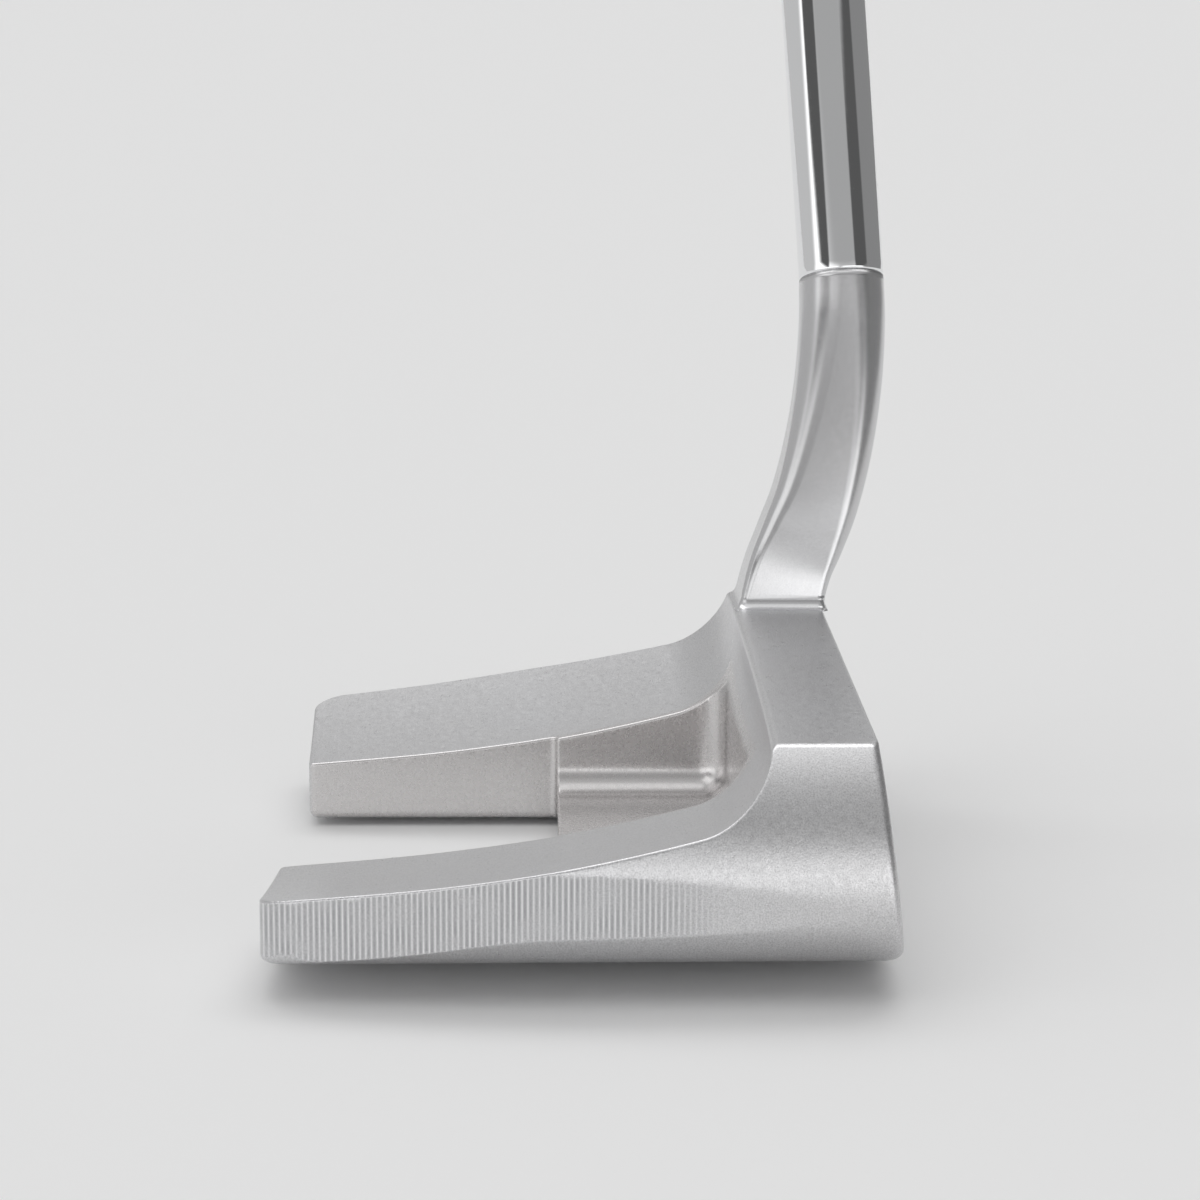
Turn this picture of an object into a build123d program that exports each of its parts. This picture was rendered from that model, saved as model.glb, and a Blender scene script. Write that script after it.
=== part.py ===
from build123d import *
import math
import os

# ---------------------------------------------------------------------------
# Twin-wing putter with a flow neck, a steel shaft and a rubber pistol grip.
# Millimetres.  +Z up, -Y is the way the face points, +Y is the way the wings
# point, +X runs from the toe to the heel.  Origin: centre of the flat land
# under the sole.
# ---------------------------------------------------------------------------

# --- head: side profile -----------------------------------------------------
HEAD_TOP_Z = 24.25          # height of the flat topline above the ground
FACE_TOP_Y = -28.85         # face plane where it meets the topline
FACE_LEAN = 6.5             # degrees, face plane from vertical
TOPLINE_BACK_Y = -18.46     # rear edge of the topline
REAR_Y = 30.5               # rear end of the wings
KNEE_FOOT_Y = -13.6         # where the wing tops start to climb to the topline
# wing top along Y at the centre plane, before camber: (y, z)
WING_TOP = [(30.5, 6.45), (24.0, 6.98), (16.0, 7.72), (8.0, 8.72),
            (0.0, 10.02), (-7.0, 11.5), (-13.6, 13.15)]
CAMBER_R = 285.0            # toe-heel radius of the sole
LAND_W = 15.0               # width of the flat land in the middle of the sole
LEAD_EDGE_R = 1.6           # face to sole

# --- head: toe and heel ends ------------------------------------------------
CREASE_X = 39.57            # half length of the topline
END_MAX_X = 47.25           # fullest point of the toe and heel surfaces
END_MAX_Z = 9.3             # its height
END_LOW_R = 6.2             # roll from the fullest point into the sole
END_SPLAY = 1.0             # degrees, ends open towards the rear
FACET_X = 47.05             # milled vertical facet on the outer side of a wing
TOE_FACE_R = 1.0            # rounded edge between face and toe or heel
REAR_OUTER_R = 4.0          # plan radius of the outer rear corners
REAR_INNER_R = 1.0          # plan radius of the inner rear corners

# --- head: pocket between the wings -----------------------------------------
GAP_HALF = 21.15            # half width of the pocket over the crossbar
SLOT_HALF = 21.95           # half width of the open slot behind the crossbar
FLOOR_Z = 4.5               # top of the low crossbar
BAR_REAR_Y = 1.8            # rear edge of the crossbar
POCKET_FRONT_Y = -17.35     # front wall of the pocket
POCKET_CORNER_R = 3.2       # vertical front corners
FLOOR_FILLET_R = 3.1        # wall to floor

# --- neck and shaft line ----------------------------------------------------
LIE_RUN = 0.325             # shaft line: mm of +X per mm of height
BACK_RUN = 0.0555           # shaft line: mm of +Y per mm of height
JOINT = (45.0, -31.9, 60.7) # centre of the neck's upper shoulder
SPIGOT_D = 6.0
SPIGOT_L = 9.0
BRAZE_T = 0.1
SPIGOT_XY = (34.0, -24.0)

SHAFT_TIP_OD = 10.0
POST_D = 8.4
POST_L = 26.0
BOND_T = 0.1
SHAFT_WALL_TIP = 0.7
SHAFT_WALL_BUTT = 0.4
SHAFT_BUTT_OD = 15.0
STEP_COUNT = 11
TIP_PARALLEL = 190.0        # plain lower part of the shaft
STEP_PITCH = 27.0
PUTTER_LENGTH = 864.0       # 34 in, along the shaft line from the ground

# --- grip -------------------------------------------------------------------
GRIP_L = 267.0              # 10.5 in
TAPE_T = 0.15
CAP_T = 4.0                 # thickness of the end cap's head
CAP_PLUG_L = 9.0            # part of the end cap inside the shaft
VENT_D = 2.4
# stations from the mouth: (s, width across, depth, front flat distance)
GRIP_ST = [(0.0, 19.0, 19.0, 9.5), (12.0, 20.2, 20.2, 10.0),
           (70.0, 22.0, 22.4, 10.6), (140.0, 24.0, 25.4, 11.3),
           (195.0, 25.6, 28.6, 11.9), (235.0, 27.0, 32.0, 12.3),
           (258.0, 27.6, 33.0, 12.5), (267.0, 26.6, 31.6, 12.1)]

os.makedirs("parts", exist_ok=True)


def save(shape, name):
    shape.label = name
    export_step(shape, "parts/" + name + ".step")


# =============================== head body ==================================
# Side profile, in the plane x = 0, swept round the sole's camber centre.
def yz(y, z):
    return (0.0, y, z)


side = Face(Wire([
    Edge.make_line(yz(-34, 0), yz(REAR_Y + 0.6, 0)),
    Edge.make_line(yz(REAR_Y + 0.6, 0), yz(REAR_Y + 0.6, WING_TOP[0][1] - 0.05)),
    Edge.make_line(yz(REAR_Y + 0.6, WING_TOP[0][1] - 0.05), yz(*WING_TOP[0])),
    Edge.make_spline([yz(y, z) for y, z in WING_TOP],
                     tangents=[(0, -1, 0.08), (0, -1, 0.3)]),
    Edge.make_spline([yz(*WING_TOP[-1]), yz(-16.6, 14.95), yz(TOPLINE_BACK_Y + 0.12, 19.2)],
                     tangents=[(0, -1, 0.3), (0, -0.03, 1)]),
    Edge.make_line(yz(TOPLINE_BACK_Y + 0.12, 19.2), yz(TOPLINE_BACK_Y, 27)),
    Edge.make_line(yz(TOPLINE_BACK_Y, 27), yz(-34, 27)),
    Edge.make_line(yz(-34, 27), yz(-34, 0)),
]))
camber_axis = Axis((0, 0, CAMBER_R), (0, 1, 0))
half_sweep = 11.0
swept = revolve(side.rotate(camber_axis, -half_sweep), axis=camber_axis,
                revolution_arc=2 * half_sweep)

# everything above the topline plane and ahead of the face plane goes
lean = math.tan(math.radians(FACE_LEAN))
fy0 = FACE_TOP_Y - HEAD_TOP_Z * lean
body_limits = Face(Wire.make_polygon([
    yz(FACE_TOP_Y, HEAD_TOP_Z), yz(fy0, 0), yz(fy0 - 1.0 * lean, -1.0),
    yz(REAR_Y + 3, -1.0), yz(REAR_Y + 3, HEAD_TOP_Z)], close=True))
limits = extrude(body_limits, amount=60, dir=(1, 0, 0), both=True)

# outline of the toe and heel surfaces, seen along Y
sag = END_MAX_X - CREASE_X
dz = HEAD_TOP_Z - END_MAX_Z
END_UP_R = (dz * dz + sag * sag) / (2 * sag)
a_top = math.asin(dz / END_UP_R)
mid_up = (END_MAX_X - END_UP_R * (1 - math.cos(a_top / 2)),
          END_MAX_Z + END_UP_R * math.sin(a_top / 2))
a_low = math.radians(81.0)
low_c = END_MAX_X - END_LOW_R
p_low = (low_c + END_LOW_R * math.cos(a_low), END_MAX_Z - END_LOW_R * math.sin(a_low))
p_lowmid = (low_c + END_LOW_R * math.cos(a_low / 2),
            END_MAX_Z - END_LOW_R * math.sin(a_low / 2))
slope = math.cos(a_low) / math.sin(a_low)
p_in = (p_low[0] - 14.0, p_low[1] - 14.0 * slope)


def end_limit(sign):
    y0 = -40.0

    def q(p):
        return (sign * p[0], y0, p[1])
    face = Face(Wire([
        Edge.make_line(q((CREASE_X - 25, HEAD_TOP_Z + 1.0)), q((CREASE_X - 1.0 * sag / dz, HEAD_TOP_Z + 1.0))),
        Edge.make_line(q((CREASE_X - 1.0 * sag / dz, HEAD_TOP_Z + 1.0)), q((CREASE_X, HEAD_TOP_Z))),
        Edge.make_three_point_arc(q((CREASE_X, HEAD_TOP_Z)), q(mid_up), q((END_MAX_X, END_MAX_Z))),
        Edge.make_three_point_arc(q((END_MAX_X, END_MAX_Z)), q(p_lowmid), q(p_low)),
        Edge.make_line(q(p_low), q(p_in)),
        Edge.make_line(q(p_in), q((p_in[0], -3.0))),
        Edge.make_line(q((p_in[0], -3.0)), q((CREASE_X - 25, -3.0))),
        Edge.make_line(q((CREASE_X - 25, -3.0)), q((CREASE_X - 25, HEAD_TOP_Z + 1.0))),
    ]))
    t = math.tan(math.radians(END_SPLAY))
    shift = sign * t * (y0 - (-15.0))
    face = face.moved(Location((shift, 0, 0)))
    d = Vector(sign * t, 1, 0).normalized()
    return extrude(face, amount=80, dir=(d.X, d.Y, d.Z))


centre_block = Box(2 * (CREASE_X - 24), 90, 60)
ends = centre_block + end_limit(1) + end_limit(-1)

# plan outline with the milled facets and the rounded rear corners
facet_curve = [(FACET_X, 6.0), (46.3, 16.0), (45.2, 26.75)]
rear_c = (45.2 - REAR_OUTER_R, 26.75)
rear_mid = (rear_c[0] + REAR_OUTER_R * math.sin(math.radians(45)),
            rear_c[1] + REAR_OUTER_R * math.cos(math.radians(45)))


def plan_half(sign):
    def p(x, y):
        return (sign * x, y, -3.0)
    wire = Wire([
        Edge.make_line(p(0, -36), p(FACET_X, -36)),
        Edge.make_line(p(FACET_X, -36), p(FACET_X, 6.0)),
        Edge.make_spline([p(x, y) for x, y in facet_curve], tangents=[(0, 1, 0), (-sign * 0.02, 1, 0)]),
        Edge.make_three_point_arc(p(*facet_curve[-1]), p(*rear_mid),
                                  p(rear_c[0], rear_c[1] + REAR_OUTER_R)),
        Edge.make_line(p(rear_c[0], rear_c[1] + REAR_OUTER_R), p(SLOT_HALF - 1, REAR_Y - 0.3)),
        Edge.make_line(p(SLOT_HALF - 1, REAR_Y - 0.3), p(0, REAR_Y - 0.3)),
        Edge.make_line(p(0, REAR_Y - 0.3), p(0, -36)),
    ])
    return extrude(Face(wire), amount=34, dir=(0, 0, 1))


plan = plan_half(1) + plan_half(-1)
head = swept & limits & ends & plan

# flat land in the middle of the sole
land_cut = LAND_W * LAND_W / 8.0 / CAMBER_R
head = head.moved(Location((0, 0, -land_cut)))
head = head - Pos(0, 0, -5) * Box(200, 200, 10)

# gap between the wings, and the pocket over the crossbar
gap_cut = Pos(0, (BAR_REAR_Y + 60) / 2, 0) * Box(2 * SLOT_HALF, 60 - BAR_REAR_Y, 80)
pocket = Pos(0, (POCKET_FRONT_Y + BAR_REAR_Y + 2) / 2, FLOOR_Z + 20) * Box(
    2 * GAP_HALF, BAR_REAR_Y + 2 - POCKET_FRONT_Y, 40)
vert = pocket.edges().filter_by(Axis.Z).sort_by(Axis.Y)[:2]
pocket = fillet(vert, POCKET_CORNER_R)
floor_edges = [e for e in pocket.faces().sort_by(Axis.Z)[0].edges()
               if e.center().Y < BAR_REAR_Y + 1.9]
pocket = fillet(floor_edges, FLOOR_FILLET_R)
head = head - pocket - gap_cut

# socket for the neck's spigot
socket = Pos(SPIGOT_XY[0], SPIGOT_XY[1], HEAD_TOP_Z - SPIGOT_L / 2 + 5) * Cylinder(
    SPIGOT_D / 2 + BRAZE_T, SPIGOT_L + 10)
head = head - socket

# rounded edges
TOP_Z = HEAD_TOP_Z - land_cut
def try_fillet(shape, picks, r):
    try:
        out = fillet(picks, r)
        if out.is_valid and abs(out.volume - shape.volume) < 0.05 * shape.volume:
            return out
    except Exception as err:
        print("fillet skipped", r, type(err).__name__)
    return shape


rear_in = [e for e in head.edges()
           if e.center().Y > REAR_Y - 1.6 and abs(abs(e.center().X) - SLOT_HALF) < 0.3 and
           abs(e.bounding_box().size.Z) > 2.5]
print("rear inner edges", len(rear_in))
head = try_fillet(head, rear_in, REAR_INNER_R)
lead = [e for e in head.edges()
        if e.center().Y < fy0 + 1.5 and e.center().Z < 5.5 and abs(e.center().X) < 30 and
        e.bounding_box().size.X > 10]
print("leading edges", len(lead))
head = try_fillet(head, lead, LEAD_EDGE_R)
head = head.solids().sort_by(SortBy.VOLUME)[-1]
save(head, "head_body")
hb = head.bounding_box()
print("head", head.is_valid, round(head.volume, 1), hb.min, hb.max)

# ============================== shaft line ==================================
axis_dir = Vector(LIE_RUN, BACK_RUN, 1.0).normalized()
joint = Vector(*JOINT)
# local frame: z along the shaft, y across towards the wings, x towards the golfer
side_y = Vector(0, 1, 0)
side_y = (side_y - axis_dir * side_y.dot(axis_dir)).normalized()
side_x = side_y.cross(axis_dir).normalized()
shaft_plane = Plane(origin=joint, x_dir=side_x, z_dir=axis_dir)
ground_to_joint = joint.Z / axis_dir.Z
BUTT_T = PUTTER_LENGTH - ground_to_joint           # end of the grip cap
GRIP_T0 = BUTT_T - GRIP_L              # mouth of the grip
SHAFT_END_T = BUTT_T - CAP_T

# ================================= neck =====================================
# centre line of the neck and the section at each station
neck_st = [
    # x, y, z, side x, side y, corner, tilt fraction
    (33.75, -24.05, TOP_Z, 10.9, 10.3, 1.9, 0.0),
    (33.95, -24.15, TOP_Z + 0.75, 10.5, 9.75, 1.9, 0.0),
    (34.6, -25.15, TOP_Z + 3.6, 10.4, 9.7, 2.4, 0.35),
    (35.8, -26.65, TOP_Z + 7.1, 10.3, 9.75, 3.1, 0.6),
    (37.3, -28.55, TOP_Z + 11.75, 10.2, 9.8, 3.9, 0.8),
    (39.2, -30.2, TOP_Z + 17.6, 10.15, 10.0, 4.6, 0.9),
    (41.4, -31.35, TOP_Z + 24.4, 10.1, 10.1, 4.9, 1.0),
    (43.5, -31.9, TOP_Z + 31.2, 10.05, 10.05, 4.95, 1.0),
]

def between(stations, n):
    """Smooth in-between stations: Catmull-Rom through the listed ones."""
    out = []
    last = len(stations) - 1
    for i in range(last):
        p0 = stations[max(i - 1, 0)]
        p1 = stations[i]
        p2 = stations[i + 1]
        p3 = stations[min(i + 2, last)]
        for k in range(n):
            u = k / n
            out.append(tuple(
                0.5 * (2 * b + (c - a) * u + (2 * a - 5 * b + 4 * c - d) * u * u +
                       (3 * b - a - 3 * c + d) * u ** 3)
                for a, b, c, d in zip(p0, p1, p2, p3)))
    out.append(stations[-1])
    return out


fine_st = between(neck_st[1:] + [(*JOINT, SHAFT_TIP_OD, SHAFT_TIP_OD, 4.85, 1.0)], 2)
fine_st = [neck_st[0]] + fine_st
neck_sections = []
for i, (x, y, z, sx, sy, r, w) in enumerate(fine_st):
    p = Vector(x, y, z)
    j = min(i + 1, len(fine_st) - 1)
    k = max(i - 1, 0)
    if i == len(fine_st) - 1:
        zd = axis_dir
    else:
        tang = (Vector(*fine_st[j][:3]) - Vector(*fine_st[k][:3])).normalized()
        zd = (Vector(0, 0, 1) * (1 - w) + tang * w).normalized()
    xd = Vector(1, 0, 0)
    xd = (xd - zd * xd.dot(zd)).normalized()
    neck_sections.append((Plane(origin=p, x_dir=xd, z_dir=zd) *
                          RectangleRounded(sx, sy, min(r, min(sx, sy) / 2 - 0.15))).face())
neck = loft(neck_sections, ruled=True)
spigot = Pos(SPIGOT_XY[0], SPIGOT_XY[1], TOP_Z - (SPIGOT_L - 0.3) / 2 + 0.5) * Cylinder(
    SPIGOT_D / 2, SPIGOT_L - 0.3 + 1.0)
post = shaft_plane * Pos(0, 0, POST_L / 2 - 1.0) * Cylinder(POST_D / 2, POST_L + 2.0)
neck = (neck + spigot + post).solids().sort_by(SortBy.VOLUME)[-1]
save(neck, "flow_neck")
nb = neck.bounding_box()
print("neck", neck.is_valid, round(neck.volume, 1), nb.min, nb.max)

# braze layer between the spigot and its socket
braze_l = SPIGOT_L - 0.3
braze = Pos(SPIGOT_XY[0], SPIGOT_XY[1], TOP_Z - braze_l / 2) * (
    Cylinder(SPIGOT_D / 2 + BRAZE_T, braze_l) - Cylinder(SPIGOT_D / 2, braze_l))
save(braze.solids()[0], "neck_braze")

# ========================== adhesive in the joint ===========================
bond = shaft_plane * (Pos(0, 0, POST_L / 2) * (
    Cylinder(POST_D / 2 + BOND_T, POST_L) - Cylinder(POST_D / 2, POST_L)))
save(bond.solids()[0], "shaft_bond")

# ================================= shaft ====================================
rt = SHAFT_TIP_OD / 2
rb = SHAFT_BUTT_OD / 2
outer = [(rt, 0.0)]
t = TIP_PARALLEL
r = rt
dr = (rb - rt) / STEP_COUNT
outer.append((r, t))
for n in range(STEP_COUNT):
    r2 = r + dr
    outer.append((r2, t + 1.2))
    t_next = t + STEP_PITCH
    if n < STEP_COUNT - 1:
        outer.append((r2, t_next))
    r = r2
    t = t_next
outer.append((rb, SHAFT_END_T))
inner = [(rt - SHAFT_WALL_TIP, 0.0), (rt - SHAFT_WALL_TIP, TIP_PARALLEL + 4.0),
         (rb - SHAFT_WALL_BUTT, TIP_PARALLEL + STEP_COUNT * STEP_PITCH),
         (rb - SHAFT_WALL_BUTT, SHAFT_END_T)]
ring = outer + inner[::-1]
prof = Face(Wire.make_polygon([(a, 0, b) for a, b in ring], close=True))
shaft = revolve(prof, axis=Axis.Z, revolution_arc=360)
shaft = shaft_plane * shaft
save(shaft.solids()[0], "shaft")
print("steps end at", TIP_PARALLEL + STEP_COUNT * STEP_PITCH, "grip mouth at", round(GRIP_T0, 1))

# ================================== grip ====================================
tape_len = GRIP_L - CAP_T - 2.0
tape = shaft_plane * (Pos(0, 0, GRIP_T0 + 2.0 + tape_len / 2) * (
    Cylinder(rb + TAPE_T, tape_len) - Cylinder(rb, tape_len)))
save(tape.solids()[0], "grip_tape")

grip_sections = []
for s, w, d, f in GRIP_ST:
    # local x points to the golfer; the flat front is on the far (-x) side
    cx = -f + d / 2
    rr = min(w, d) / 2 - 0.6 if s < 20 else min(w, d) * 0.40
    grip_sections.append(Pos(cx, 0, GRIP_T0 + s) * RectangleRounded(d, w, rr))
grip = loft([g.face() for g in grip_sections])
grip = grip - Pos(0, 0, GRIP_T0 + 1.0) * Cylinder(rb, 4.0)
grip = grip - Pos(0, 0, GRIP_T0 + 2.0 + (GRIP_L - 2.0 - CAP_T) / 2) * Cylinder(
    rb + TAPE_T, GRIP_L - 2.0 - CAP_T)
cap_seat_r = rb + 1.9
grip = grip - Pos(0, 0, BUTT_T - CAP_T / 2) * Cylinder(cap_seat_r, CAP_T)
save((shaft_plane * grip).solids()[0], "grip")

# end cap: a disc over the shaft's end with a plug that sits in the tube
cap = Pos(0, 0, BUTT_T - CAP_T / 2) * Cylinder(cap_seat_r, CAP_T)
cap += Pos(0, 0, SHAFT_END_T - CAP_PLUG_L / 2) * Cylinder(rb - SHAFT_WALL_BUTT, CAP_PLUG_L)
cap -= Pos(0, 0, BUTT_T - 20 / 2) * Cylinder(VENT_D / 2, 22)
cap_top = cap.faces().sort_by(Axis.Z)[-1].outer_wire().edges()
cap = fillet(cap_top, 0.9)
save((shaft_plane * cap).solids()[0], "grip_end_cap")
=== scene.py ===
import math
import bmesh
import bpy
import numpy as np
from mathutils import Matrix, Vector


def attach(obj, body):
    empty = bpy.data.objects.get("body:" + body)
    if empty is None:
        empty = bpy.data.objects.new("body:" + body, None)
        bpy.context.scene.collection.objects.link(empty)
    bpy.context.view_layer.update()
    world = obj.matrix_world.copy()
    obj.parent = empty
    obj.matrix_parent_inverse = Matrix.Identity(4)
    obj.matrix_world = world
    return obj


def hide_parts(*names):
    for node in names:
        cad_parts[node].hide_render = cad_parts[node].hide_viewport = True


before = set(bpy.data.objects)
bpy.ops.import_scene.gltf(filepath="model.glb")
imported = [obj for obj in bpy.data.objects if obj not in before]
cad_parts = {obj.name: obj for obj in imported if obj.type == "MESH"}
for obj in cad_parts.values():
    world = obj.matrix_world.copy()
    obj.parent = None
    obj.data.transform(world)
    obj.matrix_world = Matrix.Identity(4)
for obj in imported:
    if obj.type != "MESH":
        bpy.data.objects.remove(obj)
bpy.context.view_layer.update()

MM = 0.001
scene = bpy.context.scene

# ---------------------------------------------------------------------------
# numbers of the object, in millimetres, in the row frame
# ---------------------------------------------------------------------------
R_CAM = 285.0
LAND = 15.0
DZ = LAND * LAND / 8.0 / R_CAM            # the flat land lowers the head by this
TOP = 24.25 - DZ                          # topline height
FACE_Y, LEAN = -28.85, math.radians(6.5)
BACK_Y = -18.42
KNEE_R = 6.7
WING = np.array([(36.0, 6.0), (30.5, 6.45), (24.0, 6.98), (16.0, 7.72), (8.0, 8.72),
                 (0.0, 10.02), (-7.0, 11.5), (-13.6, 13.15), (-18.0, 14.45), (-32.0, 18.6)])
CREASE_X, END_X, END_Z, END_R = 39.57, 47.25, 9.3, 6.2
SPLAY = math.tan(math.radians(1.0))
GAP, SLOT, FLOOR, FLOOR_R, BAR_Y, POCKET_Y = 21.15, 21.95, 4.5, 3.1, 1.8, -17.35
JOINT = np.array((45.0, -31.9, 60.7))
AX = np.array((0.325, 0.0555, 1.0)); AX /= np.linalg.norm(AX)


# ---------------------------------------------------------------------------
# mesh helpers
# ---------------------------------------------------------------------------
def new_mesh_object(name, verts, faces, normals=None, smooth=True):
    me = bpy.data.meshes.new(name)
    verts = np.asarray(verts, np.float32) * MM
    faces = [f.tolist() if hasattr(f, "tolist") else list(f) for f in faces] if not isinstance(faces, np.ndarray) else faces
    if isinstance(faces, np.ndarray):
        n, k = faces.shape
        me.vertices.add(len(verts))
        me.vertices.foreach_set("co", verts.ravel())
        me.loops.add(n * k)
        me.loops.foreach_set("vertex_index", faces.astype(np.int32).ravel())
        me.polygons.add(n)
        me.polygons.foreach_set("loop_start", np.arange(0, n * k, k, dtype=np.int32))
        me.polygons.foreach_set("loop_total", np.full(n, k, np.int32))
        me.update(calc_edges=True)
    else:
        me.from_pydata(verts.tolist(), [], faces)
    me.validate()
    me.polygons.foreach_set("use_smooth", np.full(len(me.polygons), smooth))
    if normals is not None and len(me.vertices) == len(normals):
        me.normals_split_custom_set_from_vertices(np.asarray(normals, np.float32).tolist())
    ob = bpy.data.objects.new(name, me)
    scene.collection.objects.link(ob)
    return ob


def imax(a, b, r):
    """intersection with a rounded convex edge of radius r"""
    return np.minimum(-r, np.maximum(a, b)) + np.sqrt(np.maximum(a + r, 0) ** 2 + np.maximum(b + r, 0) ** 2)


def umin(a, b, r):
    """union with a concave fillet of radius r"""
    return np.maximum(r, np.minimum(a, b)) - np.sqrt(np.maximum(r - a, 0) ** 2 + np.maximum(r - b, 0) ** 2)


def smooth01(t):
    t = np.clip(t, 0.0, 1.0)
    return t * t * (3 - 2 * t)


def natural_spline(px, py):
    """coefficients of a natural cubic spline, px increasing"""
    n = len(px)
    h = np.diff(px)
    A = np.eye(n)
    b = np.zeros(n)
    for i in range(1, n - 1):
        A[i, i - 1], A[i, i], A[i, i + 1] = h[i - 1], 2 * (h[i - 1] + h[i]), h[i]
        b[i] = 6 * ((py[i + 1] - py[i]) / h[i] - (py[i] - py[i - 1]) / h[i - 1])
    m = np.linalg.solve(A, b)

    def f(x):
        i = np.clip(np.searchsorted(px, x) - 1, 0, n - 2)
        t = x - px[i]
        s = px[i + 1] - x
        hh = h[i]
        return (m[i] * s ** 3 + m[i + 1] * t ** 3) / (6 * hh) + (py[i] / hh - m[i] * hh / 6) * s + (py[i + 1] / hh - m[i + 1] * hh / 6) * t
    return f


_w = WING[::-1]
wing_top = natural_spline(_w[:, 0], _w[:, 1])
_tab_y = np.linspace(-34, 38, 1441)
_tab_z = wing_top(_tab_y)
_tab_s = np.gradient(_tab_z, _tab_y)

sag = END_X - CREASE_X
dzc = 24.25 - END_Z
R_UP = (dzc * dzc + sag * sag) / (2 * sag)

# plan outline of the milled side facets
_fy = np.array([-40.0, -20.0, 0.0, 6.0, 16.0, 26.75, 34.0])
_fx = np.array([47.05, 47.05, 47.05, 47.03, 46.3, 45.2, 44.4])
facet_x = natural_spline(_fy, _fx)
_tabf_y = np.linspace(-40, 34, 741)
_tabf_x = facet_x(_tabf_y)


def facet_dist(ax, y):
    fx = np.interp(y, _tabf_y, _tabf_x)
    side = ax - fx
    back = y - (30.2 + 0.55 * (ax - GAP) / 20.0)
    cx, cy, r = 41.2, 26.75, 4.0
    corner = np.hypot(ax - cx, y - cy) - r
    out = np.where((ax > cx) & (y > cy), corner, np.maximum(side, back))
    return out


def head_sdf(p, scallop=0.0):
    x, y, z = p[..., 0], p[..., 1], p[..., 2]
    ax = np.abs(x)
    rho_r = np.sqrt(x * x + (z - (R_CAM - DZ)) ** 2)
    d_sole = np.maximum(rho_r - R_CAM, -z)
    rho = R_CAM - rho_r
    # profile seen from the end: wing tops, knee and the rear wall of the bumper
    wt = np.interp(y, _tab_y, _tab_z)
    ws = np.interp(y, _tab_y, _tab_s)
    d_w = (rho - wt) / np.sqrt(1 + ws * ws)
    yb = BACK_Y - 0.30 * (1 - (x / 39.0) ** 2)
    d_b = y - yb + 0.012 * (z - 20)
    d_prof = umin(d_w, d_b, KNEE_R)
    d_top = imax(d_prof, z - TOP, 0.75)
    # face and sole
    d_face = -(y - FACE_Y) * math.cos(LEAN) + (z - TOP) * math.sin(LEAN)
    d_sf = imax(d_sole, d_face, 1.8)
    # toe and heel surfaces
    axs = ax - SPLAY * (y + 15.0)
    zc = END_Z - DZ
    d_up = np.hypot(np.maximum(axs - (END_X - R_UP), 0), z - zc) - R_UP
    d_lo = np.hypot(np.maximum(axs - (END_X - END_R), 0), z - zc) - END_R - 0.6 * np.maximum(END_X - END_R - axs, 0)
    d_end = np.where(z > zc, d_up, d_lo)
    d_a = imax(d_sf, d_end, 1.0)
    # milled facets, rounded rear corners
    d_f = facet_dist(ax, y)
    if scallop > 0:
        m = (0.12 + 0.88 * smooth01((y + 10.0) / 36.0)) * smooth01((y + 13.5) / 6.0) * smooth01((31.5 - y) / 3.0) * (ax > 40)
        d_f = d_f - scallop * m * np.abs(np.sin(np.pi * y / 0.55))
    rv = 0.05 + 0.95 * smooth01((y - 24.5) / 4.5)
    d_l = imax(d_a, d_f, rv)
    # rear slot, and the shallower pocket in front of it with its low crossbar
    d_slot = imax(ax - SLOT, BAR_Y - y, 0.85)
    d_pk = imax(imax(ax - GAP, POCKET_Y - y, 3.2), (FLOOR - DZ) - z, FLOOR_R)
    d_void = umin(d_slot, d_pk, 0.30)
    d_s = imax(d_l, -d_void, 0.8)
    return imax(d_s, d_top, 0.28)


def gradient(fn, p, h=0.02):
    g = np.empty_like(p)
    for i in range(3):
        q = p.copy()
        q[:, i] += h
        a = fn(q)
        q[:, i] -= 2 * h
        g[:, i] = (a - fn(q)) / (2 * h)
    return g


def project(fn, p, steps=4, limit=0.3):
    for _ in range(steps):
        f = fn(p)
        g = gradient(fn, p)
        n2 = np.maximum((g * g).sum(1), 0.05)
        d = (f / n2)[:, None] * g
        ln = np.linalg.norm(d, axis=1)
        k = np.minimum(1.0, limit / np.maximum(ln, 1e-9))
        p = p - d * k[:, None]
    return p


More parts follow.
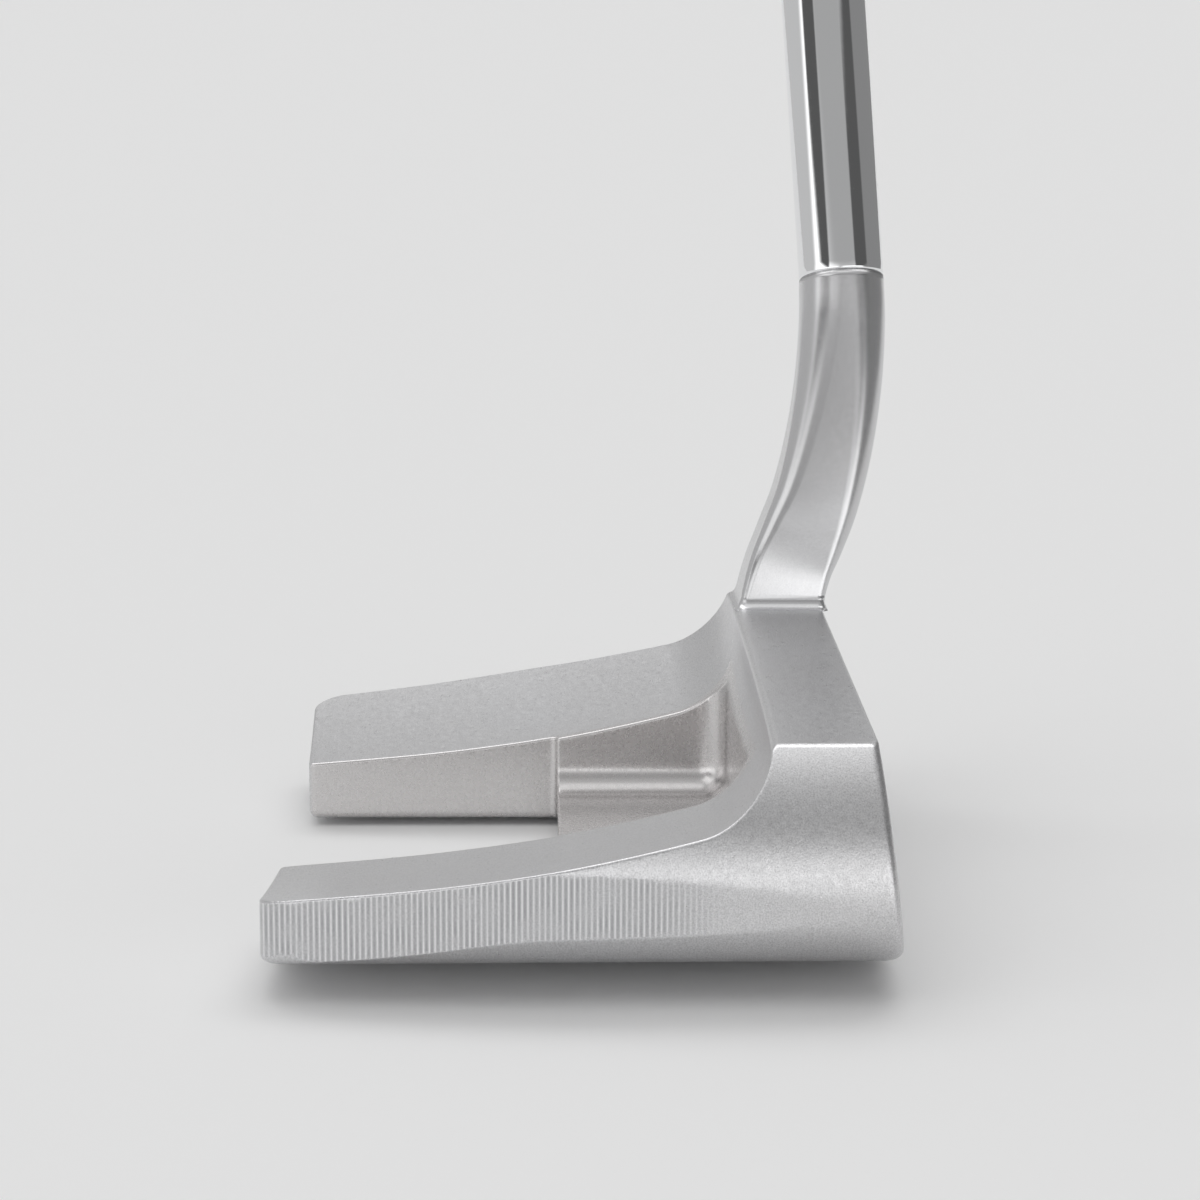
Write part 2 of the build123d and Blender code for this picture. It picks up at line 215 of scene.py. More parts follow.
def surface_nets(fn, lo, hi, h):
    """quads on the zero level of fn"""
    n = np.ceil((np.array(hi) - np.array(lo)) / h).astype(int) + 1
    xs = [lo[i] + h * np.arange(n[i]) for i in range(3)]
    vals = np.empty(n, np.float32)
    for i in range(n[0]):                       # slab by slab, to keep memory small
        Y, Z = np.meshgrid(xs[1], xs[2], indexing="ij")
        P = np.stack([np.full_like(Y, xs[0][i]), Y, Z], -1)
        vals[i] = fn(P)
    ins = vals < 0
    c = n - 1
    cnt = np.zeros(c, np.int8)
    for a in (0, 1):
        for b in (0, 1):
            for d in (0, 1):
                cnt += ins[a:a + c[0], b:b + c[1], d:d + c[2]]
    mixed = (cnt > 0) & (cnt < 8)
    idx = -np.ones(c, np.int64)
    cells = np.argwhere(mixed)
    idx[mixed] = np.arange(len(cells))
    # mean of the edge crossings of each mixed cell
    acc = np.zeros((len(cells), 3))
    num = np.zeros(len(cells))
    ci, cj, ck = cells.T
    corner = {}
    for a in (0, 1):
        for b in (0, 1):
            for d in (0, 1):
                corner[(a, b, d)] = vals[ci + a, cj + b, ck + d].astype(float)
    for axis in range(3):
        for u in (0, 1):
            for v in (0, 1):
                o = [0, 0, 0]
                others = [k for k in range(3) if k != axis]
                o[others[0]], o[others[1]] = u, v
                e = list(o)
                e[axis] = 1
                f0, f1 = corner[tuple(o)], corner[tuple(e)]
                cross = (f0 < 0) != (f1 < 0)
                t = np.where(cross, f0 / np.where(cross, f0 - f1, 1.0), 0.0)
                pt = np.zeros((len(cells), 3))
                pt[:, others[0]] = u
                pt[:, others[1]] = v
                pt[:, axis] = t
                acc += pt * cross[:, None]
                num += cross
    pos = (cells + acc / num[:, None]) * h + np.array(lo)
    quads = []
    for axis in range(3):
        b, d = [k for k in range(3) if k != axis]
        s0 = [slice(None)] * 3
        s1 = [slice(None)] * 3
        s0[axis], s1[axis] = slice(0, -1), slice(1, None)
        A, B = ins[tuple(s0)], ins[tuple(s1)]
        e = np.argwhere(A != B)
        ok = (e[:, b] > 0) & (e[:, d] > 0) & (e[:, b] < c[b]) & (e[:, d] < c[d])
        e = e[ok]
        flip = A[tuple(e.T)]

        def cell(db, dd):
            q = e.copy()
            q[:, b] -= db
            q[:, d] -= dd
            return idx[tuple(q.T)]
        q = np.stack([cell(1, 1), cell(0, 1), cell(0, 0), cell(1, 0)], 1)
        # winding: outward normal points from inside to outside
        sign = flip if axis != 1 else ~flip
        q[~sign] = q[~sign][:, ::-1]
        quads.append(q)
    quads = np.concatenate(quads)
    return pos, quads


def loft_rings(name, rings, cap_start=True, cap_end=True, normals=None):
    """rings: list of (n,3) arrays, same n, closed loops"""
    n = len(rings[0])
    v = np.concatenate(rings)
    f = []
    for i in range(len(rings) - 1):
        a = i * n
        b = (i + 1) * n
        j = np.arange(n)
        k = (j + 1) % n
        f.append(np.stack([a + j, a + k, b + k, b + j], 1))
    faces = [tuple(q) for q in np.concatenate(f).tolist()]
    if cap_start:
        faces.append(tuple(range(n - 1, -1, -1)))
    if cap_end:
        m = (len(rings) - 1) * n
        faces.append(tuple(range(m, m + n)))
    return new_mesh_object(name, v, faces)


# ---------------------------------------------------------------------------
# camera
# ---------------------------------------------------------------------------
F_PX = 3400.0
cam_pos = Vector((-0.357, 0.004, 0.0995))
dx, dy = (538.0 - 600.0) / F_PX, -(-56.0 - 600.0) / F_PX
Xc = Vector((dx, dy, 1.0)).normalized()            # row +X seen in the camera: right, up, forward
upv = Vector((0, 1, 0))
Zc = (upv - upv.dot(Xc) * Xc).normalized()
Yc = Zc.cross(Xc)
if Yc.x > 0:
    Yc = -Yc
right = Vector((Xc.x, Yc.x, Zc.x))
up = Vector((Xc.y, Yc.y, Zc.y))
fwd = Vector((Xc.z, Yc.z, Zc.z))
cam = bpy.data.cameras.new("camera")
cam.sensor_width = 36.0
cam.sensor_fit = "HORIZONTAL"
cam.lens = F_PX / 1200.0 * 36.0
cam.clip_start = 0.01
cam.clip_end = 30.0
cam_ob = bpy.data.objects.new("camera", cam)
scene.collection.objects.link(cam_ob)
rot = Matrix((right, up, -fwd)).transposed()
cam_ob.matrix_world = Matrix.Translation(cam_pos) @ rot.to_4x4()
scene.camera = cam_ob


# ---------------------------------------------------------------------------
# materials
# ---------------------------------------------------------------------------
def node_mat(name):
    m = bpy.data.materials.new(name)
    m.use_nodes = True
    nt = m.node_tree
    for n in list(nt.nodes):
        nt.nodes.remove(n)
    out = nt.nodes.new("ShaderNodeOutputMaterial")
    b = nt.nodes.new("ShaderNodeBsdfPrincipled")
    nt.links.new(b.outputs[0], out.inputs[0])
    return m, nt, b


def N(nt, kind, **kw):
    n = nt.nodes.new(kind)
    for k, v in kw.items():
        if k.startswith("i_"):
            n.inputs[k[2:].replace("_", " ")].default_value = v
        else:
            setattr(n, k, v)
    return n


def math_node(nt, op, a, b=None, clamp=False):
    n = nt.nodes.new("ShaderNodeMath")
    n.operation = op
    n.use_clamp = clamp
    for i, v in enumerate((a, b)):
        if v is None:
            continue
        if isinstance(v, (int, float)):
            n.inputs[i].default_value = v
        else:
            nt.links.new(v, n.inputs[i])
    return n.outputs[0]


def ramp(nt, fac, stops):
    r = nt.nodes.new("ShaderNodeValToRGB")
    e = r.color_ramp.elements
    while len(e) > 1:
        e.remove(e[-1])
    e[0].position = stops[0][0]
    e[0].color = (*stops[0][1], 1) if isinstance(stops[0][1], tuple) else (stops[0][1],) * 3 + (1,)
    for p, c in stops[1:]:
        q = e.new(p)
        q.color = (*c, 1) if isinstance(c, tuple) else (c,) * 3 + (1,)
    nt.links.new(fac, r.inputs[0])
    return r


def mixc(nt, fac, a, b, mode="MIX"):
    m = nt.nodes.new("ShaderNodeMix")
    m.data_type = "RGBA"
    m.blend_type = mode
    if isinstance(fac, (int, float)):
        m.inputs[0].default_value = fac
    else:
        nt.links.new(fac, m.inputs[0])
    for s, v in ((m.inputs[6], a), (m.inputs[7], b)):
        if isinstance(v, tuple):
            s.default_value = (*v, 1)
        else:
            nt.links.new(v, s)
    return m.outputs[2]


def steel_material(name, base=(0.655, 0.655, 0.665), rough=0.32, head=True):
    m, nt, b = node_mat(name)
    L = nt.links.new
    b.inputs["Metallic"].default_value = 1.0
    tc = N(nt, "ShaderNodeTexCoord")
    ob = tc.outputs["Object"]
    # bead-blasted grain: sub-millimetre noise in colour, roughness and bump
    n1 = N(nt, "ShaderNodeTexNoise", i_Scale=6500.0, i_Detail=2.0, i_Roughness=0.6)
    n2 = N(nt, "ShaderNodeTexNoise", i_Scale=1500.0, i_Detail=3.0, i_Roughness=0.6)
    n3 = N(nt, "ShaderNodeTexNoise", i_Scale=60.0, i_Detail=3.0, i_Roughness=0.5)
    for n in (n1, n2, n3):
        L(ob, n.inputs["Vector"])
    c1 = ramp(nt, n1.outputs["Fac"], [(0.30, 0.80), (0.5, 1.0), (0.70, 1.16)] if head else [(0.30, 0.96), (0.70, 1.03)])
    col = mixc(nt, 1.0, base, c1.outputs[0], "MULTIPLY")
    c3 = ramp(nt, n3.outputs["Fac"], [(0.3, (0.975, 0.97, 0.965)), (0.7, (1.0, 1.0, 1.0))])
    col = mixc(nt, 1.0, col, c3.outputs[0], "MULTIPLY")
    bump_h = math_node(nt, "ADD", math_node(nt, "MULTIPLY", n1.outputs["Fac"], 0.7), math_node(nt, "MULTIPLY", n2.outputs["Fac"], 0.6))
    bump = N(nt, "ShaderNodeBump")
    bump.inputs["Distance"].default_value = 0.00006
    L(bump_h, bump.inputs["Height"])
    L(bump.outputs[0], b.inputs["Normal"])
    r1 = ramp(nt, n2.outputs["Fac"], [(0.3, rough - 0.05), (0.7, rough + 0.06)] if head else [(0.3, rough - 0.01), (0.7, rough + 0.02)])
    if head:
        at = {}
        for k in ("pocket", "facet"):
            a_ = nt.nodes.new("ShaderNodeAttribute")
            a_.attribute_name = k
            at[k] = a_.outputs["Fac"]
        smoother = math_node(nt, "MAXIMUM", math_node(nt, "MULTIPLY", at["pocket"], 0.30), math_node(nt, "MULTIPLY", at["facet"], 0.7))
        # milling scallops, cut in the mesh: their colour bands are painted light, a painted highlight on the ridges
        # between the scallops and painted shade in the grooves, uneven along their length
        sp = nt.nodes.new("ShaderNodeSeparateXYZ")
        L(ob, sp.inputs[0])
        wave = math_node(nt, "ABSOLUTE", math_node(nt, "SINE", math_node(nt, "MULTIPLY", sp.outputs[1], math.pi / 0.00055)))
        ridge = math_node(nt, "POWER", math_node(nt, "SUBTRACT", 1.0, wave), 1.6)
        n4 = N(nt, "ShaderNodeTexNoise", i_Scale=420.0, i_Detail=2.0, i_Roughness=0.6)
        L(ob, n4.inputs["Vector"])
        uneven = ramp(nt, n4.outputs["Fac"], [(0.30, 0.35), (0.65, 1.0)])
        ridge_highlight = math_node(nt, "MULTIPLY", math_node(nt, "MULTIPLY", ridge, uneven.outputs[0]), at["facet"])
        groove_shade = math_node(nt, "MULTIPLY", math_node(nt, "MULTIPLY", wave, uneven.outputs[0]), at["facet"])
        # painted shade: the grooves between the ridges darkened towards dark grey
        col = mixc(nt, math_node(nt, "MULTIPLY", groove_shade, 0.78), col, (0.36, 0.36, 0.375))
        # painted highlight: the ridges lightened towards near-white
        col = mixc(nt, ridge_highlight, col, (0.92, 0.92, 0.93))
        mr = nt.nodes.new("ShaderNodeMapRange")
        mr.inputs["To Min"].default_value = 1.0
        mr.inputs["To Max"].default_value = 0.45
        L(smoother, mr.inputs["Value"])
        L(math_node(nt, "MULTIPLY", r1.outputs[0], mr.outputs["Result"]), b.inputs["Roughness"])
        mr2 = nt.nodes.new("ShaderNodeMapRange")
        mr2.inputs["To Min"].default_value = 0.40
        mr2.inputs["To Max"].default_value = 0.03
        L(math_node(nt, "MAXIMUM", at["pocket"], math_node(nt, "MULTIPLY", at["facet"], 0.7)), mr2.inputs["Value"])
        L(mr2.outputs["Result"], bump.inputs["Strength"])
        col = mixc(nt, math_node(nt, "MULTIPLY", at["pocket"], 0.9), col, mixc(nt, 1.0, (0.665, 0.650, 0.648), c3.outputs[0], "MULTIPLY"))
    else:
        bump.inputs["Strength"].default_value = 0.04
        L(r1.outputs[0], b.inputs["Roughness"])
    L(col, b.inputs["Base Color"])
    return m, nt, b


mat_head, nt_h, b_h = steel_material("head_bead_blasted_steel")
mat_neck, nt_n, b_n = steel_material("neck_satin_steel", rough=0.24, head=False)


def chrome_material():
    m, nt, b = node_mat("shaft_bright_chrome")
    L = nt.links.new
    b.inputs["Metallic"].default_value = 1.0
    tc = N(nt, "ShaderNodeTexCoord")
    n = N(nt, "ShaderNodeTexNoise", i_Scale=900.0, i_Detail=3.0)
    L(tc.outputs["Object"], n.inputs["Vector"])
    r = ramp(nt, n.outputs["Fac"], [(0.3, 0.035), (0.7, 0.065)])
    L(r.outputs[0], b.inputs["Roughness"])
    n2 = N(nt, "ShaderNodeTexNoise", i_Scale=25.0, i_Detail=2.0)
    L(tc.outputs["Object"], n2.inputs["Vector"])
    c = ramp(nt, n2.outputs["Fac"], [(0.3, (0.86, 0.865, 0.875)), (0.7, (0.90, 0.905, 0.91))])
    L(c.outputs[0], b.inputs["Base Color"])
    bump = N(nt, "ShaderNodeBump")
    bump.inputs["Strength"].default_value = 0.05
    bump.inputs["Distance"].default_value = 0.00002
    L(n.outputs["Fac"], bump.inputs["Height"])
    L(bump.outputs[0], b.inputs["Normal"])
    return m


mat_shaft = chrome_material()


def rubber_material(name, base=(0.022, 0.022, 0.024), rough=0.62):
    m, nt, b = node_mat(name)
    L = nt.links.new
    tc = N(nt, "ShaderNodeTexCoord")
    n = N(nt, "ShaderNodeTexNoise", i_Scale=2600.0, i_Detail=3.0)
    n2 = N(nt, "ShaderNodeTexNoise", i_Scale=70.0, i_Detail=3.0)
    for q in (n, n2):
        L(tc.outputs["Object"], q.inputs["Vector"])
    c = ramp(nt, n2.outputs["Fac"], [(0.3, tuple(0.8 * v for v in base)), (0.7, tuple(1.3 * v for v in base))])
    L(c.outputs[0], b.inputs["Base Color"])
    r = ramp(nt, n.outputs["Fac"], [(0.3, rough - 0.08), (0.7, rough + 0.1)])
    L(r.outputs[0], b.inputs["Roughness"])
    bump = N(nt, "ShaderNodeBump")
    bump.inputs["Strength"].default_value = 0.35
    bump.inputs["Distance"].default_value = 0.00008
    L(n.outputs["Fac"], bump.inputs["Height"])
    L(bump.outputs[0], b.inputs["Normal"])
    return m


mat_grip = rubber_material("grip_matte_rubber")
mat_cap = rubber_material("grip_cap_rubber", (0.03, 0.03, 0.032), 0.5)


def inner_material(name, a, bcol, rough, metallic, scale):
    m, nt, b = node_mat(name)
    L = nt.links.new
    b.inputs["Metallic"].default_value = metallic
    tc = N(nt, "ShaderNodeTexCoord")
    n = N(nt, "ShaderNodeTexNoise", i_Scale=scale, i_Detail=4.0)
    L(tc.outputs["Object"], n.inputs["Vector"])
    c = ramp(nt, n.outputs["Fac"], [(0.3, a), (0.7, bcol)])
    L(c.outputs[0], b.inputs["Base Color"])
    r = ramp(nt, n.outputs["Fac"], [(0.3, rough), (0.7, min(1.0, rough + 0.15))])
    L(r.outputs[0], b.inputs["Roughness"])
    bump = N(nt, "ShaderNodeBump")
    bump.inputs["Strength"].default_value = 0.3
    bump.inputs["Distance"].default_value = 0.0001
    L(n.outputs["Fac"], bump.inputs["Height"])
    L(bump.outputs[0], b.inputs["Normal"])
    return m


for node, mat in (("neck_braze", inner_material("silver_braze", (0.62, 0.56, 0.42), (0.78, 0.72, 0.58), 0.35, 1.0, 800.0)),
                  ("shaft_bond", inner_material("cured_epoxy", (0.10, 0.10, 0.095), (0.17, 0.165, 0.15), 0.3, 0.0, 500.0)),
                  ("grip_tape", inner_material("grip_tape_paper", (0.62, 0.56, 0.42), (0.78, 0.73, 0.60), 0.8, 0.0, 1200.0))):
    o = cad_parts[node]
    o.data.materials.clear()
    o.data.materials.append(mat)

# ---------------------------------------------------------------------------
# head
# ---------------------------------------------------------------------------
SCALLOP = 0.06


def head_fine(p):
    return head_sdf(p, SCALLOP)


def unit_grad(fn, p, h=0.012):
    g = gradient(fn, p, h)
    return g / np.maximum(np.linalg.norm(g, axis=1), 1e-9)[:, None]


def bm_coords(bm):
    return np.array([v.co[:] for v in bm.verts])


def bm_store(bm, co):
    for v, c in zip(bm.verts, co):
        v.co = c


pos, quads = surface_nets(head_sdf, (-48.6, -33.2, -1.0), (48.6, 32.2, 25.6), 0.5)
pos = project(head_sdf, pos, 5)
bm = bmesh.new()
_v = [bm.verts.new(c) for c in pos]
for q in quads:
    try:
        bm.faces.new([_v[i] for i in q])
    except ValueError:
        pass
bm.verts.index_update()
for limit, shortest in ((7.0, 0.11), (7.0, 0.11), (9.0, 0.07)):
    co = bm_coords(bm)
    nn = unit_grad(head_sdf, co)
    ed = np.array([[e.verts[0].index, e.verts[1].index] for e in bm.edges])
    cosang = (nn[ed[:, 0]] * nn[ed[:, 1]]).sum(1)
    length = np.linalg.norm(co[ed[:, 0]] - co[ed[:, 1]], axis=1)
    bm.edges.ensure_lookup_table()
    pick = np.where((cosang < math.cos(math.radians(limit))) & (length > shortest))[0]
    bmesh.ops.subdivide_edges(bm, edges=[bm.edges[i] for i in pick], cuts=1, use_grid_fill=True)
    bm.verts.index_update()
    bm_store(bm, project(head_sdf, bm_coords(bm), 3, 0.15))
# cut the side facets finely across the scallops
co = bm_coords(bm)
fx = np.interp(co[:, 1], _tabf_y, _tabf_x)
on_facet = (np.abs(np.abs(co[:, 0]) - fx) < 0.05) & (co[:, 1] > -15) & (co[:, 1] < 31) | \
    ((np.abs(co[:, 0]) > 41.2) & (co[:, 1] > 26.75) & (np.abs(np.hypot(np.abs(co[:, 0]) - 41.2, co[:, 1] - 26.75) - 4.0) < 0.35))
pick = []
for e in bm.edges:
    a, b = e.verts
    if on_facet[a.index] and on_facet[b.index]:
        d = a.co - b.co
        if abs(d.y) > 1.2 * abs(d.z) and d.length > 0.2:
            pick.append(e)
bmesh.ops.subdivide_edges(bm, edges=pick, cuts=5, use_grid_fill=True)
bm.verts.index_update()
pos = project(head_fine, bm_coords(bm), 3, 0.1)
bm_store(bm, pos)
bmesh.ops.triangulate(bm, faces=[f for f in bm.faces if len(f.verts) > 4])
nrm = unit_grad(head_fine, pos, 0.01)
faces = [[v.index for v in f.verts] for f in bm.faces]
bm.free()
head = new_mesh_object("head_milled", pos, faces, nrm)
head.data.materials.append(mat_head)
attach(head, "root")
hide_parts("head_body")
px, py, pz = np.abs(pos[:, 0]), pos[:, 1], pos[:, 2]
fxx = np.interp(py, _tabf_y, _tabf_x)
attrs = {
    "pocket": smooth01((22.3 - px) / 0.3) * smooth01((py + 18.2) / 0.3) * (pz < 23),
    "facet": smooth01((0.10 - np.abs(nrm[:, 2])) / 0.06) * smooth01((0.20 - np.abs(facet_dist(px, py))) / 0.1) * (px > 40) * smooth01((py + 15.0) / 9.0),
}
for k, vals in attrs.items():
    at = head.data.attributes.new(k, "FLOAT", "POINT")
    at.data.foreach_set("value", np.asarray(vals, np.float32))
print("head faces", len(faces))


# ---------------------------------------------------------------------------
# neck
# ---------------------------------------------------------------------------
def rounded_section(c, xd, yd, xm, xp, ym, yp, r, n=128):
    """closed loop round c: half extents xm/xp along xd and ym/yp along yd, corner radius r"""
    pts = []
    per = n // 4
    quad = ((1, 1, 0), (-1, 1, 90), (-1, -1, 180), (1, -1, 270))
    for sx, sy, a0 in quad:
        hx = xp if sx > 0 else xm
        hy = yp if sy > 0 else ym
        rr = min(r, hx - 0.001, hy - 0.001)
        for k in range(per):
            a = math.radians(a0 + 90.0 * (k + 0.5) / per)
            pts.append(c + xd * (sx * (hx - rr) + rr * math.cos(a)) + yd * (sy * (hy - rr) + rr * math.sin(a)))
    return np.array(pts)


neck_st = np.array([
    # x, y, z, half x toe, half x heel, half y face, half y back, corner r, tilt
    (33.95, -24.15, TOP + 0.0, 5.25, 5.25, 4.87, 4.87, 0.9, 0.0),
    (34.15, -24.45, TOP + 1.3, 5.20, 5.20, 4.86, 4.86, 1.0, 0.15),
    (34.7, -25.25, TOP + 3.9, 5.15, 5.15, 4.86, 4.86, 1.3, 0.45),
    (35.8, -26.75, TOP + 7.3, 5.1, 5.1, 4.9, 4.9, 1.8, 0.75),
    (37.3, -28.55, TOP + 11.75, 5.08, 5.08, 4.92, 4.92, 2.4, 0.95),
    (39.2, -30.15, TOP + 17.6, 5.05, 5.05, 5.0, 5.0, 3.1, 1.0),
    (41.4, -31.35, TOP + 24.4, 5.03, 5.03, 5.05, 5.05, 3.9, 1.0),
    (43.5, -31.92, TOP + 31.2, 5.02, 5.02, 5.06, 5.06, 4.7, 1.0),
    (45.0, -31.9, 60.7, 5.0, 5.0, 5.0, 5.0, 5.0, 1.0)])


def catmull(st, n):
    out = []
    last = len(st) - 1
    for i in range(last):
        p0, p1, p2, p3 = st[max(i - 1, 0)], st[i], st[i + 1], st[min(i + 2, last)]
        if i == 0:
            p0 = 2 * p1 - p2
        if i == last - 1:
            p3 = 2 * p2 - p1
        for k in range(n):
            u = k / n
            out.append(0.5 * (2 * p1 + (p2 - p0) * u + (2 * p0 - 5 * p1 + 4 * p2 - p3) * u * u + (3 * p1 - p0 - 3 * p2 + p3) * u ** 3))
    out.append(st[last])
    return np.array(out)


fine = catmull(neck_st, 10)
tang = np.gradient(fine[:, :3], axis=0)
tang /= np.linalg.norm(tang, axis=1)[:, None]
tang[-1] = AX
tang[-2] = tang[-2] * 0.5 + AX * 0.5
tang[-2] /= np.linalg.norm(tang[-2])
rings = []
FLARE = 1.15
for k, row in enumerate(fine):
    c = row[:3]
    w = row[8]
    zd = np.array((0, 0, 1.0)) * (1 - w) + tang[k] * w
    zd /= np.linalg.norm(zd)
    xd = np.array((1.0, 0, 0)) - zd * zd[0]
    xd /= np.linalg.norm(xd)
    yd = np.cross(zd, xd)
    if k == 0:
        # foot: concave flare down to the topline
        for q in range(0, 13):
            a = math.radians(90.0 * q / 12)
            off = FLARE * (1 - math.sin(a))
            hh = FLARE * (1 - math.cos(a))
            cc = c + np.array((0.18, -0.26, 1.0)) * hh * 0.9
            cc[2] = TOP + hh
            if q == 0:
                base = cc.copy()
                base[2] = TOP - 0.5
                rings.append(rounded_section(base, xd, yd, 5.0, 5.0, 4.6, 4.6, 0.9))
                base = cc.copy()
                base[2] = TOP - 0.10
                wide = off + 0.5
                rings.append(rounded_section(base, xd, yd, 5.25 + wide, 5.25 + 0.3 * wide, 4.87 + 0.28 * wide, 4.87 + 0.35 * wide, 0.9))
            rings.append(rounded_section(cc, xd, yd, 5.25 + off, 5.25 + 0.3 * off, 4.87 + 0.28 * off, 4.87 + 0.35 * off, 0.9))
        continue
    if c[2] < TOP + FLARE + 0.05:
        continue
    rings.append(rounded_section(c, xd, yd, row[3], row[4], row[5], row[6], min(row[7], row[5] - 0.001, row[6] - 0.001, row[3] - 0.001)))
neck = loft_rings("neck_milled", rings)
neck.data.materials.append(mat_neck)
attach(neck, "root")
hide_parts("flow_neck")

# ---------------------------------------------------------------------------
# shaft
# ---------------------------------------------------------------------------
side_y = np.array((0, 1.0, 0)) - AX * AX[1]
side_y /= np.linalg.norm(side_y)
side_x = np.cross(side_y, AX)


def on_axis(t, a=0.0, b=0.0):
    return JOINT + AX * t + side_x * a + side_y * b


def lathe(name, prof, n=160):
    ang = np.arange(n) * 2 * math.pi / n
    ca, sa = np.cos(ang), np.sin(ang)
    rings = []
    for r, t in prof:
        rings.append(JOINT + AX * t + np.outer(ca * r, side_x) + np.outer(sa * r, side_y))
    return rings


L_TOTAL = 864.0
BUTT = L_TOTAL - JOINT[2] / AX[2]
GRIP_L = 267.0
G0 = BUTT - GRIP_L
prof = []
rt, rb, steps = 5.0, 7.5, 11
# rolled end of the tube
for q in range(9):
    a = math.radians(90.0 * q / 8)
    prof.append((rt - 0.42 * (1 - math.sin(a)), 0.05 + 0.42 * (1 - math.cos(a))))
r = rt
t = 190.0
prof += [(r, 1.2), (r, 30.0), (r, 90.0), (r, 150.0)]
d = (rb - rt) / steps
for s in range(steps):
    for k in range(7):
        u = k / 6
        prof.append((r + d * smooth01(u), t + 1.3 * u))
    r += d
    t += 27.0
    if s < steps - 1:
        prof.append((r, t - 13.0))
prof += [(r, 500.0), (r, BUTT - 4.0)]
prof = [(4.3, 0.05)] + prof
shaft_rings = lathe("shaft", prof, 192)
shaft = loft_rings("shaft_chrome_tube", shaft_rings)
shaft.data.materials.append(mat_shaft)
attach(shaft, "root")
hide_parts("shaft")

# ---------------------------------------------------------------------------
# grip
# ---------------------------------------------------------------------------
G_ST = np.array([(0.0, 19.0, 19.0, 9.5), (12.0, 20.2, 20.2, 10.0),
                 (70.0, 22.0, 22.4, 10.6), (140.0, 24.0, 25.4, 11.3),
                 (195.0, 25.6, 28.6, 11.9), (235.0, 27.0, 32.0, 12.3),
                 (258.0, 27.6, 33.0, 12.5), (267.0, 26.6, 31.6, 12.1)])
gs = [natural_spline(G_ST[:, 0], G_ST[:, i]) for i in (1, 2, 3)]


def grip_ring(s, n=192, inset=0.0):
    w, dd, f = (float(g(np.array([s]))[0]) for g in gs)
    w -= 2 * inset
    dd -= 2 * inset
    f -= inset
    ang = np.arange(n) * 2 * math.pi / n
    # front half flat, rear half round: superellipse exponents differ
    e_front = 2.0 + 2.6 * smooth01((s - 6.0) / 40.0)
    ca, sa = np.cos(ang), np.sin(ang)
    ex = np.where(ca < 0, e_front, 2.25)
    rr = (np.abs(ca) ** ex + np.abs(sa) ** ex) ** (-1.0 / ex)
    px = rr * ca * dd / 2 + (dd / 2 - f)
    py = rr * sa * w / 2
    return px, py


grip_rings = []
stations = [0.0, 0.15, 0.5, 1.0, 1.8] + list(np.linspace(2.6, 262.0, 260)) + [263.5, 264.8, 265.8, 266.5, 266.9, 267.0]
for s in stations:
    e = 0.0
    if s < 1.8:
        e = 0.9 * (1 - math.sqrt(max(0.0, 1 - (1 - s / 1.8) ** 2)))
    if s > 264.0:
        e = 2.4 * (1 - math.sqrt(max(0.0, 1 - ((s - 264.0) / 3.0) ** 2)))
    if 12.0 < s < 250.0:
        # fine moulded ribs round the grip
        e += 0.16 * (0.5 - 0.5 * math.cos(2 * math.pi * (s - 12.0) / 4.0)) * float(smooth01((s - 12.0) / 8.0)) * float(smooth01((250.0 - s) / 8.0))
    px, py = grip_ring(min(s, 266.0), inset=e)
    grip_rings.append(JOINT + AX * (G0 + s) + np.outer(px, side_x) + np.outer(py, side_y))
grip = loft_rings("grip_rubber_skin", grip_rings)
grip.data.materials.append(mat_grip)
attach(grip, "root")
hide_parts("grip")

cap_prof = [(9.4, BUTT - 3.0), (1.2, BUTT - 3.0), (1.2, BUTT - 0.15), (1.35, BUTT + 0.02), (1.7, BUTT + 0.08), (7.0, BUTT + 0.30), (8.6, BUTT + 0.2), (9.2, BUTT - 0.1), (9.4, BUTT - 0.7), (9.4, BUTT - 3.0)]
cap = loft_rings("grip_cap_disc", lathe("cap", cap_prof, 96), cap_start=False, cap_end=False)
cap.data.materials.append(mat_cap)
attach(cap, "root")
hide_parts("grip_end_cap")

# ---------------------------------------------------------------------------
# floor, light
# ---------------------------------------------------------------------------
fl = bpy.data.meshes.new("floor")
S = 30.0
fl.from_pydata([(-S, -S, 0), (S, -S, 0), (S, S, 0), (-S, S, 0)], [], [(0, 1, 2, 3)])
floor = bpy.data.objects.new("floor", fl)
scene.collection.objects.link(floor)
floor.location = (0, 0, -0.00005)
m, nt, b = node_mat("floor_pale")
b.inputs["Base Color"].default_value = (0.90, 0.90, 0.90, 1)
b.inputs["Roughness"].default_value = 0.9
b.inputs["Specular IOR Level"].default_value = 0.1
fl.materials.append(m)

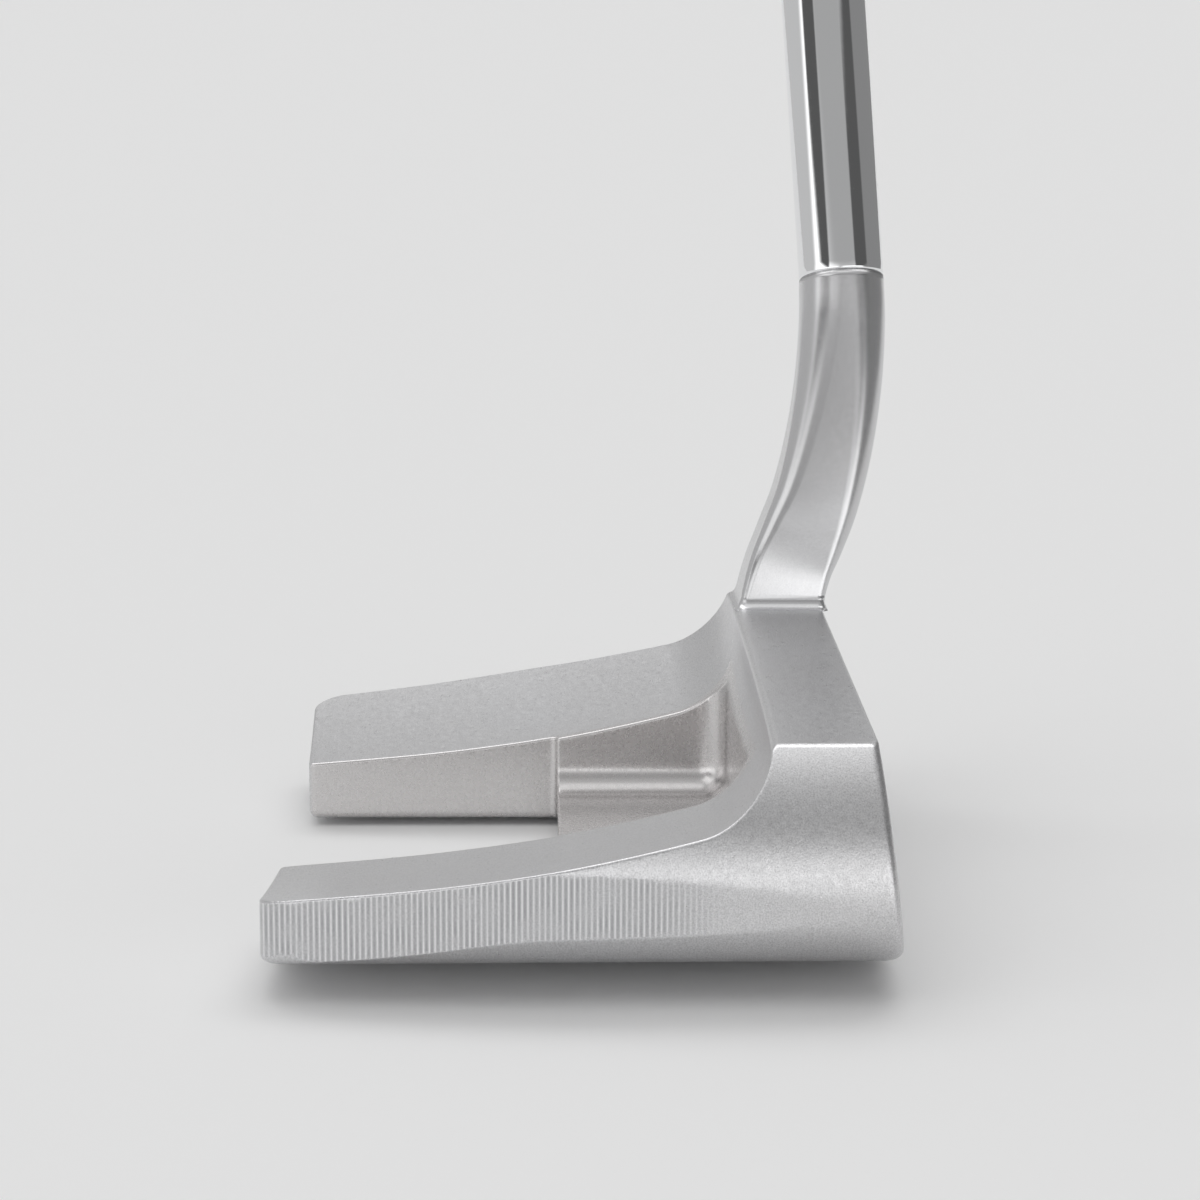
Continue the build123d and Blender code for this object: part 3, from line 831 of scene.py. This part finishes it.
world = bpy.data.worlds.new("studio")
scene.world = world
world.use_nodes = True
wt = world.node_tree
for n in list(wt.nodes):
    wt.nodes.remove(n)
wo = wt.nodes.new("ShaderNodeOutputWorld")
bg = wt.nodes.new("ShaderNodeBackground")
wt.links.new(bg.outputs[0], wo.inputs[0])
tc = wt.nodes.new("ShaderNodeTexCoord")
sep = wt.nodes.new("ShaderNodeSeparateXYZ")
wt.links.new(tc.outputs["Generated"], sep.inputs[0])
az = math_node(wt, "MULTIPLY", math_node(wt, "ARCTAN2", math_node(wt, "MULTIPLY", sep.outputs[1], -1.0), math_node(wt, "MULTIPLY", sep.outputs[0], -1.0)), 180 / math.pi)
el = math_node(wt, "MULTIPLY", math_node(wt, "ARCSINE", sep.outputs[2]), 180 / math.pi)

# a plain studio: an even room with soft boxes and grey cards round the table
# (azimuth from the toe side, + towards the face; elevation; half width; half height; softness of the edge; brightness)
ROOM = 0.55
CARDS = [
    ("front left box", -45, 0, 28, 18, 14, 1.4),
    ("front right box", 30, 0, 24, 14, 12, 1.7),
    ("high box behind", 180, 65, 50, 14, 14, 2.4),
    ("top box", 0, 90, 180, 14, 14, 1.0),
    ("upper left box", -60, 44, 25, 10, 12, 1.2),
    ("grey card, right", 110, 15, 40, 24, 16, 0.25),
    ("grey card, front high", 0, 38, 35, 8, 10, 0.4),
    ("black card, left", -56, 25, 14, 5, 6, 0.1),
    ("black card, right", 58, 25, 16, 5, 6, 0.1),
]


def soft_edge(value, half, soft):
    """1 inside the half width, 0 beyond half + soft"""
    mr = wt.nodes.new("ShaderNodeMapRange")
    mr.interpolation_type = "SMOOTHSTEP"
    mr.inputs["From Min"].default_value = half
    mr.inputs["From Max"].default_value = half + soft
    mr.inputs["To Min"].default_value = 1.0
    mr.inputs["To Max"].default_value = 0.0
    wt.links.new(value, mr.inputs["Value"])
    return mr.outputs["Result"]


sky = (ROOM / 5.0,) * 3
for _name, a0, e0, ha, he, soft, level in CARDS:
    da = math_node(wt, "ABSOLUTE", math_node(wt, "SUBTRACT", az, float(a0)))
    da = math_node(wt, "MINIMUM", da, math_node(wt, "ABSOLUTE", math_node(wt, "SUBTRACT", 360.0, da)))
    de = math_node(wt, "ABSOLUTE", math_node(wt, "SUBTRACT", el, float(e0)))
    cover = math_node(wt, "MULTIPLY", soft_edge(da, ha, soft), soft_edge(de, he, soft * 0.7))
    sky = mixc(wt, cover, sky, (level / 5.0,) * 3)
wt.links.new(sky, bg.inputs[0])
bg.inputs[1].default_value = 5.0

scene.view_settings.view_transform = "Standard"
scene.view_settings.look = "None"
scene.view_settings.exposure = 0.0
